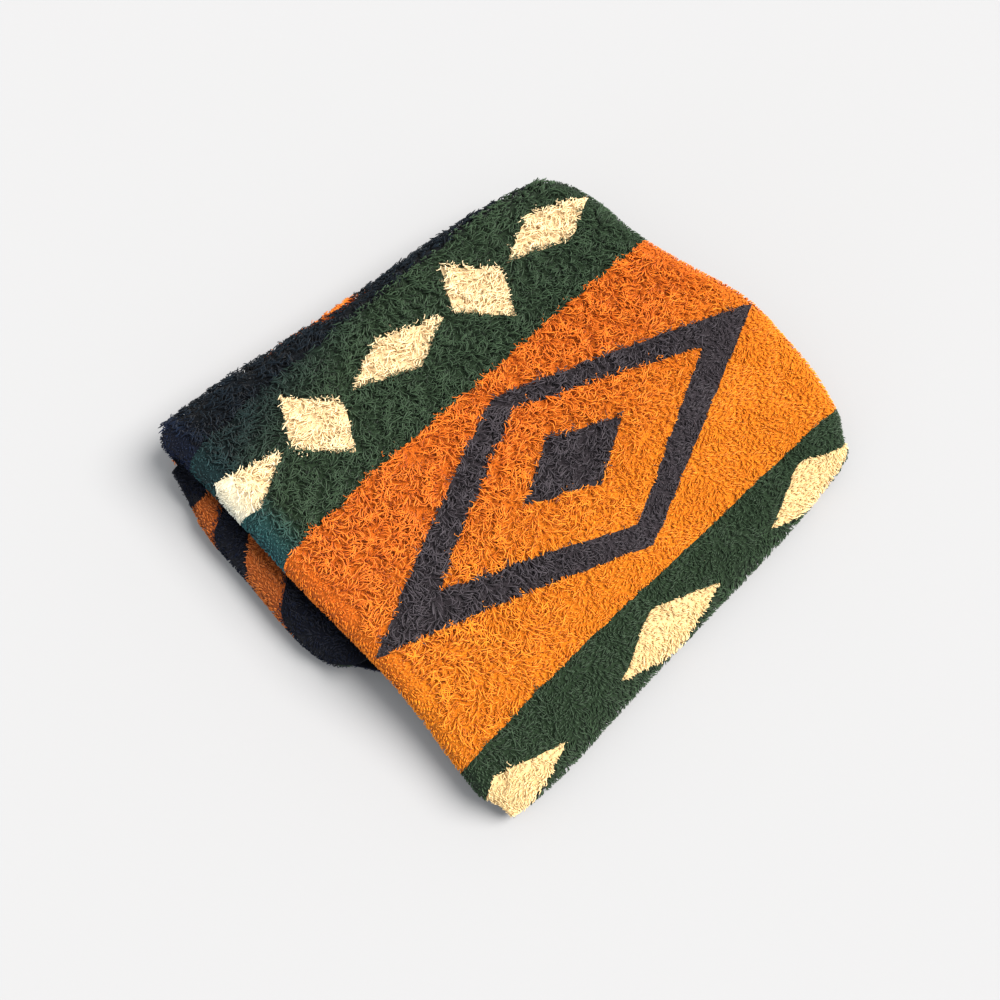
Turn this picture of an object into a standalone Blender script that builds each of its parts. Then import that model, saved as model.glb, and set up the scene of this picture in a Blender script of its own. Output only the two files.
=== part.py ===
"""Plush southwestern blanket, folded to a packet and lying on a flat surface.

The blanket is one sheet of cloth. It goes back and forth in five plies, and the whole bundle is
bent once round a rolled fold, so that an upper stack lies on a shorter lower stack and slopes
down to the surface in front of it. X runs along the bands, Y towards the rolled fold, Z up.
All sizes are in metres.
"""

import math
from collections.abc import Callable
from typing import NamedTuple

import bpy
import numpy as np

# The cloth and how closely its plies lie.
CLOTH_THICKNESS = 0.0055
PLY_PITCH = 0.0075
STACK_GAP = 0.0015
OUTERMOST_PLY = 2.0
# The plies lie looser at the front edge.
FRONT_PUFF = 1.3

# Where the upper stack starts to slope down, how far before the droop it is level again, and the droop's bend.
SLOPE_TOP_Y = 0.020
SLOPE_FOOT_Y = 0.008
DROOP_RADIUS = 0.011

# The turned-down ends: a bend and a short straight drop, smaller round the front edge.
CURL_ARC = 0.022
CURL_DROP = 0.010
FULL_CURL = math.radians(90)
LEAST_CURL = 0.0001
DROOP_CURL_SIZE = 0.4

# Shares of the roll over which the top ply's ends turn down, and of the lower run for the lower stack's.
TOP_CURL_START = 0.10
TOP_CURL_GROWTH = 0.60
LOWER_CURL_GROWTH = 0.13
LOWER_CURL_FADE = 0.20

# How much further the inner plies stand back inside the roll and the droop.
ROLL_INSET = 0.016
DROOP_INSET = 0.008

# Cells of the sheet along each run of a ply and across its ends. The lower run's lie closer at its two ends.
CURL_CELLS = 4
CURL_ARC_CELLS = 3
LOWER_STEPS = (0.05, 0.11, 0.20, 0.50, 0.80, 0.91, 1.0)
ROLL_CELLS = 8
TOP_CELLS = 4
SLOPE_CELLS = 6
DROOP_CELLS = 4
TURN_CELLS = 4
FLAT_CELLS = 7

# How far the underside stands clear of the surface between the four points that bear on it.
BEARING_LIFT = 0.0003

LOWER_Z = OUTERMOST_PLY * PLY_PITCH + CLOTH_THICKNESS / 2
UPPER_Z = 3 * LOWER_Z + STACK_GAP
FRONT_Z = OUTERMOST_PLY * PLY_PITCH * FRONT_PUFF + CLOTH_THICKNESS / 2

CLOTH_COLOUR = (0.56, 0.17, 0.03, 1.0)
CLOTH_ROUGHNESS = 0.95

# Centre of the rolled fold: (X, Y). The fold runs askew to the bands.
ROLL_LINE = (
    (-0.27, 0.281),
    (-0.19, 0.277),
    (-0.13, 0.269),
    (-0.08, 0.264),
    (0.0, 0.259),
    (0.13, 0.246),
    (0.20, 0.233),
    (0.26, 0.217),
)

# Where the front edge starts to droop: (X, Y).
FRONT_LINE = (
    (-0.27, -0.154),
    (-0.20, -0.158),
    (-0.13, -0.155),
    (-0.06, -0.153),
    (0.0, -0.152),
    (0.13, -0.149),
    (0.20, -0.143),
    (0.26, -0.134),
)

# How far the upper stack stands clear of the lower one: (X, height).
LIFT_LINE = ((-0.27, 0.0), (-0.15, 0.003), (0.02, 0.001), (0.16, 0.004), (0.26, 0.0))

# Ends of the upper stack: (Y, X).
UPPER_LEFT = (
    (-0.20, -0.256),
    (-0.165, -0.268),
    (-0.12, -0.266),
    (-0.08, -0.261),
    (0.10, -0.260),
    (0.25, -0.260),
    (0.33, -0.266),
)
UPPER_RIGHT = (
    (-0.20, 0.219),
    (-0.165, 0.235),
    (-0.14, 0.248),
    (-0.11, 0.258),
    (-0.05, 0.262),
    (0.02, 0.261),
    (0.06, 0.254),
    (0.12, 0.243),
    (0.17, 0.238),
    (0.22, 0.239),
    (0.30, 0.226),
)

# Ends of the lower stack: (Y, X). Its left end stands out beyond the upper stack's.
LOWER_LEFT = (
    (-0.12, -0.250),
    (-0.02, -0.256),
    (0.004, -0.270),
    (0.018, -0.283),
    (0.045, -0.290),
    (0.14, -0.289),
    (0.20, -0.287),
    (0.235, -0.280),
    (0.268, -0.272),
    (0.32, -0.267),
)
LOWER_RIGHT = ((-0.12, 0.238), (0.02, 0.246), (0.14, 0.243), (0.24, 0.238), (0.32, 0.228))


class Ply(NamedTuple):
    """One pass of the cloth through the bundle.

    Attributes:
        level: Place in the bundle, in plies from its middle, positive on the outer side.
        start: Y of its hidden end or turn under the upper stack.
        reach: How far short of the droop it stops.
        droops: Whether it hangs over the front edge.
        inset_lower: How far its ends stand back from the lower stack's outline.
        inset_upper: How far its ends stand back from the upper stack's outline.
    """

    level: float
    start: float
    reach: float
    droops: bool
    inset_lower: float
    inset_upper: float


PLIES = (
    Ply(2, -0.085, 0.000, True, 0.006, 0.000),
    Ply(1, -0.036, 0.000, True, 0.014, 0.012),
    Ply(0, -0.036, 0.006, False, 0.013, 0.010),
    Ply(-1, 0.013, 0.006, False, 0.022, 0.011),
    Ply(-2, 0.013, -0.004, False, 0.000, 0.010),
)
TOP_PLY = 0
LOWER_STACK_PLY = 4


class Place(NamedTuple):
    """A station of the sheet: the ply or plies it belongs to, the run it is on and how far along."""

    ply: int
    run: str
    along: float
    turn_to: int = -1


# The stations that bear on the surface, each at both ends of its flat part.
BEARINGS = (Place(0, "lower", 0.91), Place(4, "slope", 1.0))


def smooth(value: float) -> float:
    """Eases from 0 to 1."""
    value = min(max(value, 0.0), 1.0)
    return value * value * (3 - 2 * value)


def on_curve(rows: tuple, at: float) -> float:
    """The value at a place on a smooth line through rows of (place, value)."""
    places = [row[0] for row in rows]
    values = [row[1] for row in rows]
    slopes = np.gradient(values, places)
    at = min(max(at, places[0]), places[-1])
    i = min(int(np.searchsorted(places, at, side="right")) - 1, len(rows) - 2)
    width = places[i + 1] - places[i]
    t = (at - places[i]) / width
    start = (1 + 2 * t) * (1 - t) ** 2 * values[i] + t * (1 - t) ** 2 * width * slopes[i]
    end = t * t * (3 - 2 * t) * values[i + 1] - t * t * (1 - t) * width * slopes[i + 1]
    return start + end


def upper_height(x: float) -> float:
    """Middle height of the upper stack where it lies on the lower one."""
    return UPPER_Z + on_curve(LIFT_LINE, x)


def slope_share(y: float, x: float) -> float:
    """How far down the slope a place is, 0 at its top and 1 at its foot."""
    foot = on_curve(FRONT_LINE, x) + SLOPE_FOOT_Y
    return min(max((SLOPE_TOP_Y - y) / (SLOPE_TOP_Y - foot), 0.0), 1.0)


def slope_point(y: float, x: float) -> tuple:
    """A point of the bundle's middle line from the flat top down to the front, with its outward normal."""
    foot = on_curve(FRONT_LINE, x) + SLOPE_FOOT_Y
    drop = upper_height(x) - FRONT_Z
    t = slope_share(y, x)
    z = upper_height(x) - drop * smooth(t)
    rise = drop * 6 * t * (1 - t) / (SLOPE_TOP_Y - foot)
    length = math.hypot(1.0, rise)
    return y, z, -rise / length, 1 / length


def middle_point(place: Place, x: float) -> tuple:
    """A point of the bundle's middle line as (y, z, outward y, outward z)."""
    ply = PLIES[place.ply]
    roll_y = on_curve(ROLL_LINE, x)
    front_y = on_curve(FRONT_LINE, x)
    if place.run == "lower":
        return ply.start + (roll_y - ply.start) * place.along, LOWER_Z, 0.0, -1.0
    if place.run == "roll":
        angle = math.pi * (place.along - 0.5)
        radius = (upper_height(x) - LOWER_Z) / 2
        outward = (math.cos(angle), math.sin(angle))
        return roll_y + radius * outward[0], LOWER_Z + radius * (1 + outward[1]), *outward
    if place.run == "top":
        return roll_y + (SLOPE_TOP_Y - roll_y) * place.along, upper_height(x), 0.0, 1.0
    if place.run == "slope":
        return slope_point(SLOPE_TOP_Y + (front_y + ply.reach - SLOPE_TOP_Y) * place.along, x)
    angle = math.pi / 2 * (1 + place.along)
    outward = (math.cos(angle), math.sin(angle))
    return front_y + DROOP_RADIUS * outward[0], FRONT_Z - DROOP_RADIUS * (1 - outward[1]), *outward


def ply_point(place: Place, x: float) -> np.ndarray:
    """A point of one ply's middle surface as (y, z, outward y, outward z)."""
    y, z, out_y, out_z = middle_point(place, x)
    share = 1.0 if place.run == "droop" else 0.0
    if place.run == "slope":
        share = slope_share(y, x)
    offset = PLIES[place.ply].level * PLY_PITCH * (1 + (FRONT_PUFF - 1) * smooth(share))
    return np.array((y + out_y * offset, z + out_z * offset, out_y, out_z))


def turn_point(place: Place, x: float) -> np.ndarray:
    """A point of the half round that joins two neighbouring plies at an edge."""
    first = ply_point(Place(place.ply, place.run, end_of(place.run)), x)
    second = ply_point(Place(place.turn_to, place.run, end_of(place.run)), x)
    centre = (first[:2] + second[:2]) / 2
    spoke = first[:2] - centre
    forward = np.array((-first[3], first[2]))
    if place.run == "lower":
        forward = np.array((first[3], -first[2]))
    angle = math.pi * place.along
    point = centre + math.cos(angle) * spoke + math.sin(angle) * np.linalg.norm(spoke) * forward
    return np.array((*point, first[2], first[3]))


def end_of(run: str) -> float:
    """How far along its run a ply turns back."""
    return 0.0 if run == "lower" else 1.0


def station_point(place: Place, x: float) -> np.ndarray:
    """A point of the sheet's middle surface as (y, z, outward y, outward z)."""
    return ply_point(place, x) if place.turn_to < 0 else turn_point(place, x)


def upper_share(place: Place) -> float:
    """0 in the lower stack, 1 in the upper stack, eased round the roll."""
    if place.run == "roll":
        return smooth(place.along)
    return 0.0 if place.run == "lower" else 1.0


def curl_sizes(place: Place) -> tuple:
    """(left turn, right turn, size) of a ply's ends at a station that isn't on a turn, each from 0 to 1."""
    over = place.along if place.run == "droop" else 0.0
    size = 1.0 + (DROOP_CURL_SIZE - 1.0) * over
    if place.ply == TOP_PLY:
        turned = smooth((upper_share(place) - TOP_CURL_START) / TOP_CURL_GROWTH) * (1 - smooth(over))
        return turned, turned, size
    if place.ply == LOWER_STACK_PLY and place.run == "lower":
        faded = smooth(1 - (1 - place.along) / LOWER_CURL_FADE)
        return smooth(place.along / LOWER_CURL_GROWTH) * (1 - faded), 0.0, size
    return 0.0, 0.0, size


def insets(place: Place) -> tuple:
    """How far a ply's ends stand back from the lower and the upper outline. Inner plies' more so in a bend."""
    ply = PLIES[place.ply]
    more = 0.0
    if place.run == "roll":
        more = ROLL_INSET * math.sin(math.pi * place.along)
    if place.run == "droop":
        more = DROOP_INSET * smooth(place.along)
    if place.ply == TOP_PLY:
        more = 0.0
    return ply.inset_lower + more, ply.inset_upper + more


def round_turn(place: Place, values: Callable) -> tuple:
    """The values of two plies, eased from one to the other round the turn between them."""
    first = values(Place(place.ply, place.run, end_of(place.run)))
    second = values(Place(place.turn_to, place.run, end_of(place.run)))
    return tuple(a + (b - a) * smooth(place.along) for a, b in zip(first, second))


def turn_curl_sizes(place: Place) -> tuple:
    """The turns and size of a station's ends, also round a turn."""
    if place.turn_to < 0:
        return curl_sizes(place)
    return round_turn(place, curl_sizes)


def turn_insets(place: Place) -> tuple:
    """The insets of a station's ends, also round a turn."""
    if place.turn_to < 0:
        return insets(place)
    return round_turn(place, insets)


def curl_offset(turned: float, size: float, index: int) -> tuple:
    """(along X, inwards) of a column of a turned-down end from where its bend starts."""
    angle = max(turned, LEAST_CURL) * FULL_CURL
    radius = CURL_ARC * size / angle
    share = min(index / CURL_ARC_CELLS, 1.0)
    out = radius * math.sin(angle * share)
    down = radius * (1 - math.cos(angle * share))
    if index > CURL_ARC_CELLS:
        out += CURL_DROP * size * math.cos(angle)
        down += CURL_DROP * size * math.sin(angle)
    return out, down


def outline(place: Place) -> tuple:
    """X of the left and right outline at a station, insets taken off."""
    y = station_point(place, 0.0)[0]
    share = upper_share(place)
    lower, upper = turn_insets(place)
    left = (1 - share) * (on_curve(LOWER_LEFT, y) + lower) + share * (on_curve(UPPER_LEFT, y) + upper)
    right = (1 - share) * (on_curve(LOWER_RIGHT, y) - lower) + share * (on_curve(UPPER_RIGHT, y) - upper)
    return left, right


def flat_ends(place: Place) -> tuple:
    """X where a station's two ends start to turn down."""
    left, right = outline(place)
    turn_left, turn_right, size = turn_curl_sizes(place)
    left += curl_offset(turn_left, size, CURL_CELLS)[0]
    right -= curl_offset(turn_right, size, CURL_CELLS)[0]
    return left, right


def end_point(place: Place, flat_x: float, side: int, index: int) -> tuple:
    """A point of an end: on the section at its X, moved towards the middle of the bundle."""
    turn_left, turn_right, size = turn_curl_sizes(place)
    out, inwards = curl_offset(turn_left if side < 0 else turn_right, size, index)
    if PLIES[place.ply].level > 0:
        inwards = -inwards
    x = flat_x + side * out
    y, z, out_y, out_z = station_point(place, x)
    return x, y + out_y * inwards, z + out_z * inwards


def row_points(place: Place) -> list:
    """The sheet's points across one station, from its left end to its right."""
    flat_left, flat_right = flat_ends(place)
    points = [end_point(place, flat_left, -1, k) for k in range(CURL_CELLS, 0, -1)]
    for k in range(FLAT_CELLS + 1):
        x = flat_left + (flat_right - flat_left) * k / FLAT_CELLS
        y, z, _, _ = station_point(place, x)
        points.append((x, y, z))
    points += [end_point(place, flat_right, 1, k) for k in range(1, CURL_CELLS + 1)]
    return points


def run_places(ply: int) -> list:
    """The stations of one ply, from its hidden end to the front."""
    cells = [("roll", ROLL_CELLS), ("top", TOP_CELLS), ("slope", SLOPE_CELLS)]
    if PLIES[ply].droops:
        cells.append(("droop", DROOP_CELLS))
    places = [Place(ply, "lower", along) for along in (0.0, *LOWER_STEPS)]
    for run, count in cells:
        places += [Place(ply, run, (k + 1) / count) for k in range(count)]
    return places


def turn_places(ply: int) -> list:
    """The stations that join a ply to the next one."""
    at_front = ply % 2 == 0
    front_run = "droop" if PLIES[ply].droops else "slope"
    run = front_run if at_front else "lower"
    return [Place(ply, run, k / TURN_CELLS, ply + 1) for k in range(1, TURN_CELLS)]


def sheet_places() -> list:
    """Every station of the sheet in order, back and forth through the bundle."""
    places = []
    for ply in range(len(PLIES)):
        run = run_places(ply)
        places += run if ply % 2 == 0 else run[::-1]
        if ply + 1 < len(PLIES):
            places += turn_places(ply)
    return places


def centred(points: np.ndarray) -> np.ndarray:
    """Moves the middle of the outline over the origin."""
    middle = (points.min(axis=(0, 1)) + points.max(axis=(0, 1))) / 2
    return points - np.array((middle[0], middle[1], 0.0))


def on_bearings(points: np.ndarray, places: list) -> np.ndarray:
    """Lifts the sheet but for four points near its corners, so that the packet lies still on a hard plane."""
    lifted = points + np.array((0.0, 0.0, BEARING_LIFT))
    for bearing in BEARINGS:
        for column in (CURL_CELLS, CURL_CELLS + FLAT_CELLS):
            lifted[places.index(bearing), column, 2] -= BEARING_LIFT
    return lifted


def make_material() -> bpy.types.Material:
    """Brushed plush: matt, with the main band's orange."""
    material = bpy.data.materials.new("orange_plush")
    material.use_nodes = True
    shader = material.node_tree.nodes["Principled BSDF"]
    shader.inputs["Base Color"].default_value = CLOTH_COLOUR
    shader.inputs["Roughness"].default_value = CLOTH_ROUGHNESS
    shader.inputs["Metallic"].default_value = 0.0
    return material


def make_sheet() -> bpy.types.Object:
    """The folded sheet: a grid laid along the folds, given the cloth's thickness."""
    places = sheet_places()
    points = on_bearings(centred(np.array([row_points(place) for place in places])), places)
    bpy.ops.mesh.primitive_grid_add(x_subdivisions=points.shape[1] - 1, y_subdivisions=points.shape[0] - 1)
    sheet = bpy.context.object
    sheet.name = "blanket"
    sheet.data.name = "blanket"
    sheet.data.vertices.foreach_set("co", points.ravel())
    sheet.data.update()
    thickness = sheet.modifiers.new("cloth", "SOLIDIFY")
    thickness.thickness = CLOTH_THICKNESS
    thickness.offset = 0.0
    sheet.data.materials.append(make_material())
    return sheet


def clear_scene() -> None:
    """Removes the objects the file starts with."""
    for old in list(bpy.data.objects):
        bpy.data.objects.remove(old, do_unlink=True)


def main() -> None:
    """Builds the blanket in a collection of its own."""
    clear_scene()
    sheet = make_sheet()
    collection = bpy.data.collections.new("southwestern_blanket")
    bpy.context.scene.collection.children.link(collection)
    for owner in list(sheet.users_collection):
        owner.objects.unlink(sheet)
    collection.objects.link(sheet)


main()
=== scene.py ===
"""Looks of a plush southwestern blanket, folded to a packet, on a plain pale floor.

The blanket is one sheet of cloth on the folds of its solid, and the pile that shows is drawn tuft by
tuft on it. The woven pattern is worked out from the place in the cloth, so each tuft has one colour.
X runs along the bands, Y towards the rolled fold, Z up. All sizes are in metres.
"""

import logging
import math
from collections.abc import Callable, Sequence
from dataclasses import dataclass, field, fields
from enum import Enum

import bpy
import numpy as np
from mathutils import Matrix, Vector


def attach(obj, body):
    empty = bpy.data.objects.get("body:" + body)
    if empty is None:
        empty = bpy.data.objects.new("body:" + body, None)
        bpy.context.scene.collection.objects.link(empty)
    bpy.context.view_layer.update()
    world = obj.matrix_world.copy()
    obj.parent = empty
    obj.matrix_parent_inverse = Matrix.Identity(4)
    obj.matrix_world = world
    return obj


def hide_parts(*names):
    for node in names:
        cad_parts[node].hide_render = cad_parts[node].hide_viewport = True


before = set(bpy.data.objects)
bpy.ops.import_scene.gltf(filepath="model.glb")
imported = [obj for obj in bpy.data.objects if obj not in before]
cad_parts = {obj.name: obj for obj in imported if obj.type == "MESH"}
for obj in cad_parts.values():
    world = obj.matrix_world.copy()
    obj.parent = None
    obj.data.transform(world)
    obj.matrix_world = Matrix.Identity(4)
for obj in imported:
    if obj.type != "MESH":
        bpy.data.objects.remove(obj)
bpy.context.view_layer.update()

log = logging.getLogger("blanket")

Rows = tuple[tuple[float, float], ...]
Socket = bpy.types.NodeSocket
Feed = Socket | float | str | tuple[float, ...]

# This UV map of a tuft holds how far out of the pile a place is, which sets its painted shade, and how dark
# the tuft is.
FIBRE_UV = "fibre"
# No tuft comes closer to the floor than this.
FLOOR_GAP = 0.0004
# A tuft has three sides.
RING = 3
# The least length that a vector is divided by.
TINY = 1e-12


class Run(Enum):
    """The stretches of a ply, from its hidden end to the front edge."""

    LOWER = "lower"
    ROLL = "roll"
    TOP = "top"
    SLOPE = "slope"
    DROOP = "droop"

    def turn_back(self) -> float:
        """How far along this run a ply turns back into the next."""
        return 0.0 if self is Run.LOWER else 1.0


class Face(Enum):
    """The two faces of the cloth, each with the name of the UV map that its pattern is drawn on."""

    FRONT = "front_weave"
    REVERSE = "reverse_weave"


class Layer(Enum):
    """The two layers of the plush that show."""

    BACKING = "backing"
    PILE = "pile"


def smooth(value: float | np.ndarray) -> float | np.ndarray:
    """Eases from 0 to 1."""
    value = np.clip(value, 0.0, 1.0)
    return value * value * (3 - 2 * value)


def on_curve(rows: Rows, at: float | np.ndarray) -> np.ndarray:
    """The values at some places on a smooth line through rows.

    Args:
        rows: (place, value) pairs in order.
        at: The places.

    Returns:
        The values there.
    """
    places = np.array([row[0] for row in rows])
    values = np.array([row[1] for row in rows])
    slopes = np.gradient(values, places)
    at = np.clip(np.asarray(at, dtype=float), places[0], places[-1])
    i = np.clip(np.searchsorted(places, at, side="right") - 1, 0, len(rows) - 2)
    width = places[i + 1] - places[i]
    t = (at - places[i]) / width
    start = (1 + 2 * t) * (1 - t) ** 2 * values[i] + t * (1 - t) ** 2 * width * slopes[i]
    end = t * t * (3 - 2 * t) * values[i + 1] - t * t * (1 - t) * width * slopes[i + 1]
    return start + end


@dataclass(frozen=True)
class Ply:
    """One pass of the cloth through the bundle.

    Attributes:
        level: Place in the bundle, in plies from its middle, positive on the outer side.
        start: Y of its hidden end or turn under the upper stack.
        reach: How far short of the droop it stops.
        droops: Whether it hangs over the front edge.
        inset_lower: How far its ends stand back from the lower stack's outline.
        inset_upper: How far its ends stand back from the upper stack's outline.
    """

    level: float
    start: float
    reach: float
    droops: bool
    inset_lower: float
    inset_upper: float


@dataclass(frozen=True)
class Place:
    """A station of the sheet.

    Attributes:
        ply: The ply that it is on, counted from the top one.
        run: The run.
        along: How far along the run, or round a turn, from 0 to 1.
        turn_to: The other ply of a turn, or -1 where it is on no turn.
    """

    ply: int
    run: Run
    along: float
    turn_to: int = -1

    def sides(self) -> tuple["Place", "Place"]:
        """The ends of the two plies that a turn joins."""
        end = self.run.turn_back()
        return Place(self.ply, self.run, end), Place(self.turn_to, self.run, end)


@dataclass
class Packet:
    """The folds of the cloth, as its solid has them, on a finer grid.

    Attributes:
        thickness: Thickness of the solid's cloth, pile and all.
        pitch: Distance from ply to ply.
        stack_gap: Gap between the lower and the upper stack.
        outermost: Level of the outer plies.
        front_puff: How much looser the plies lie at the front edge.
        slope_top_y: Where the top starts down to the front.
        slope_foot_y: How far behind the front edge it gets there.
        droop_radius: Radius of the turn down over the front edge.
        curl_arc: Length of the bend in a turned-down end.
        curl_drop: Length of the straight rest of it.
        full_curl: How far such an end turns.
        least_curl: The share of that which stands for none.
        droop_curl_size: Size of such an end at the end of the droop.
        top_curl_start: Share of the way up round the roll where the top ply's ends begin to turn.
        top_curl_growth: Share over which they reach the full turn.
        lower_curl_growth: The same for the lower stack's left end, from the front.
        lower_curl_fade: Share over which it goes flat again towards the roll.
        roll_inset: How far the inner plies' ends stand back in the middle of the roll.
        droop_inset: How far they do at the end of the droop.
        bearing_lift: How far the bundle lies above the bearing points of its solid.
        rest_shift: How far outside the solid's middle the top ply's cloth lies where it rests.
        pile_shift: The same where its pile shows, so that the pile stays in the solid.
        middle: X and Y, in the numbers below, of the part's origin.
        curl_cells: Cells across a turned-down end.
        curl_arc_cells: How many of them are in its bend.
        flat_cells: Cells across the flat of the packet.
        top_ply: The ply that shows on top.
        lower_stack_ply: The ply that shows on the lower stack's left end.
        roll_line: Y of the roll's axis, by X.
        front_line: Y of the front edge, by X.
        lift_line: How far the upper stack stands above its lowest level, by X.
        upper_left: X of the upper stack's left end, by Y.
        upper_right: X of its right end, by Y.
        lower_left: X of the lower stack's left end, by Y.
        lower_right: X of its right end, by Y.
        plies: The plies, from the outside in.
        lower_steps: Where the stations of the lower run are.
        outer_cells: Cells of each further run on the top ply.
        inner_cells: Cells of each further run on the others.
        turn_cells: Cells round a turn from ply to ply.
        lower_z: Height of the lower stack's middle.
        upper_z: Height of the upper stack's middle at its lowest.
        front_z: Height of the middle at the front edge.
        places: Every station of the sheet, in order.
    """

    thickness: float = 0.0055
    pitch: float = 0.0075
    stack_gap: float = 0.0015
    outermost: float = 2.0
    front_puff: float = 1.3
    slope_top_y: float = 0.020
    slope_foot_y: float = 0.008
    droop_radius: float = 0.011
    curl_arc: float = 0.022
    curl_drop: float = 0.010
    full_curl: float = math.radians(90)
    least_curl: float = 0.0001
    droop_curl_size: float = 0.4
    top_curl_start: float = 0.10
    top_curl_growth: float = 0.60
    lower_curl_growth: float = 0.13
    lower_curl_fade: float = 0.20
    roll_inset: float = 0.016
    droop_inset: float = 0.008
    bearing_lift: float = 0.0003
    rest_shift: float = 0.0008
    pile_shift: float = -0.0012
    middle: tuple[float, float] = (-0.014757, 0.062763)
    curl_cells: int = 10
    curl_arc_cells: int = 7
    flat_cells: int = 36
    top_ply: int = 0
    lower_stack_ply: int = 4
    roll_line: Rows = (
        (-0.27, 0.281),
        (-0.19, 0.277),
        (-0.13, 0.269),
        (-0.08, 0.264),
        (0.0, 0.259),
        (0.13, 0.246),
        (0.20, 0.233),
        (0.26, 0.217),
    )
    front_line: Rows = (
        (-0.27, -0.154),
        (-0.20, -0.158),
        (-0.13, -0.155),
        (-0.06, -0.153),
        (0.0, -0.152),
        (0.13, -0.149),
        (0.20, -0.143),
        (0.26, -0.134),
    )
    lift_line: Rows = ((-0.27, 0.0), (-0.15, 0.003), (0.02, 0.001), (0.16, 0.004), (0.26, 0.0))
    upper_left: Rows = (
        (-0.20, -0.256),
        (-0.165, -0.268),
        (-0.12, -0.266),
        (-0.08, -0.261),
        (0.10, -0.260),
        (0.25, -0.260),
        (0.33, -0.266),
    )
    upper_right: Rows = (
        (-0.20, 0.219),
        (-0.165, 0.235),
        (-0.14, 0.248),
        (-0.11, 0.258),
        (-0.05, 0.262),
        (0.02, 0.261),
        (0.06, 0.254),
        (0.12, 0.243),
        (0.17, 0.238),
        (0.22, 0.239),
        (0.30, 0.226),
    )
    lower_left: Rows = (
        (-0.12, -0.250),
        (-0.02, -0.256),
        (0.004, -0.270),
        (0.018, -0.283),
        (0.045, -0.290),
        (0.14, -0.289),
        (0.20, -0.287),
        (0.235, -0.280),
        (0.268, -0.272),
        (0.32, -0.267),
    )
    lower_right: Rows = ((-0.12, 0.238), (0.02, 0.246), (0.14, 0.243), (0.24, 0.238), (0.32, 0.228))
    plies: tuple[Ply, ...] = (
        Ply(2, -0.085, 0.000, True, 0.006, 0.000),
        Ply(1, -0.036, 0.000, True, 0.014, 0.012),
        Ply(0, -0.036, 0.006, False, 0.013, 0.010),
        Ply(-1, 0.013, 0.006, False, 0.022, 0.011),
        Ply(-2, 0.013, -0.004, False, 0.000, 0.010),
    )
    lower_steps: tuple[float, ...] = (
        *(0.0, 0.03, 0.06, 0.09, 0.13),
        *(0.20, 0.30, 0.40, 0.50, 0.60, 0.70, 0.80),
        *(0.87, 0.94, 1.0),
    )
    outer_cells: dict[Run, int] = field(
        default_factory=lambda: {Run.ROLL: 24, Run.TOP: 16, Run.SLOPE: 20, Run.DROOP: 10}
    )
    inner_cells: dict[Run, int] = field(
        default_factory=lambda: {Run.ROLL: 10, Run.TOP: 4, Run.SLOPE: 8, Run.DROOP: 5}
    )
    turn_cells: int = 6
    lower_z: float = field(init=False)
    upper_z: float = field(init=False)
    front_z: float = field(init=False)
    places: list[Place] = field(init=False)

    def __post_init__(self) -> None:
        """Works out the heights of the bundle's middle line and the stations."""
        self.lower_z = self.outermost * self.pitch + self.thickness / 2
        # The lower stack is twice as thick as its middle is high, and the upper stack is as thick.
        self.upper_z = 3 * self.lower_z + self.stack_gap
        self.front_z = self.outermost * self.pitch * self.front_puff + self.thickness / 2
        self.places = self.sheet_places()

    def upper_height(self, x: np.ndarray) -> np.ndarray:
        """Middle height of the upper stack where it lies on the lower one."""
        return self.upper_z + on_curve(self.lift_line, x)

    def slope_share(self, y: np.ndarray, x: np.ndarray) -> np.ndarray:
        """How far down the slope a place is, 0 at its top and 1 at its foot."""
        foot = on_curve(self.front_line, x) + self.slope_foot_y
        return np.clip((self.slope_top_y - y) / (self.slope_top_y - foot), 0.0, 1.0)

    def slope_point(self, y: np.ndarray, x: np.ndarray) -> np.ndarray:
        """Points of the middle line from the flat top down to the front.

        Args:
            y: Y of the points.
            x: X of the points.

        Returns:
            Rows y, z, outward y and outward z.
        """
        foot = on_curve(self.front_line, x) + self.slope_foot_y
        drop = self.upper_height(x) - self.front_z
        t = self.slope_share(y, x)
        z = self.upper_height(x) - drop * smooth(t)
        # How steep the eased drop is there.
        rise = drop * 6 * t * (1 - t) / (self.slope_top_y - foot)
        length = np.hypot(1.0, rise)
        return np.array((y, z, -rise / length, 1 / length))

    def middle_point(self, place: Place, x: np.ndarray) -> np.ndarray:
        """Points of the bundle's middle line.

        Args:
            place: The station.
            x: X of the points.

        Returns:
            Rows y, z, outward y and outward z.
        """
        ply = self.plies[place.ply]
        roll_y = on_curve(self.roll_line, x)
        front_y = on_curve(self.front_line, x)
        ones = np.ones_like(x)
        if place.run is Run.LOWER:
            y = ply.start + (roll_y - ply.start) * place.along
            return np.array((y, self.lower_z * ones, 0 * ones, -ones))
        if place.run is Run.ROLL:
            angle = math.pi * (place.along - 0.5)
            radius = (self.upper_height(x) - self.lower_z) / 2
            out_y, out_z = math.cos(angle), math.sin(angle)
            y = roll_y + radius * out_y
            return np.array((y, self.lower_z + radius * (1 + out_z), out_y * ones, out_z * ones))
        if place.run is Run.TOP:
            y = roll_y + (self.slope_top_y - roll_y) * place.along
            return np.array((y, self.upper_height(x), 0 * ones, ones))
        if place.run is Run.SLOPE:
            y = self.slope_top_y + (front_y + ply.reach - self.slope_top_y) * place.along
            return self.slope_point(y, x)
        angle = math.pi / 2 * (1 + place.along)
        out_y, out_z = math.cos(angle), math.sin(angle)
        y = front_y + self.droop_radius * out_y
        z = (self.front_z - self.droop_radius * (1 - out_z)) * ones
        return np.array((y, z, out_y * ones, out_z * ones))

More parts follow.
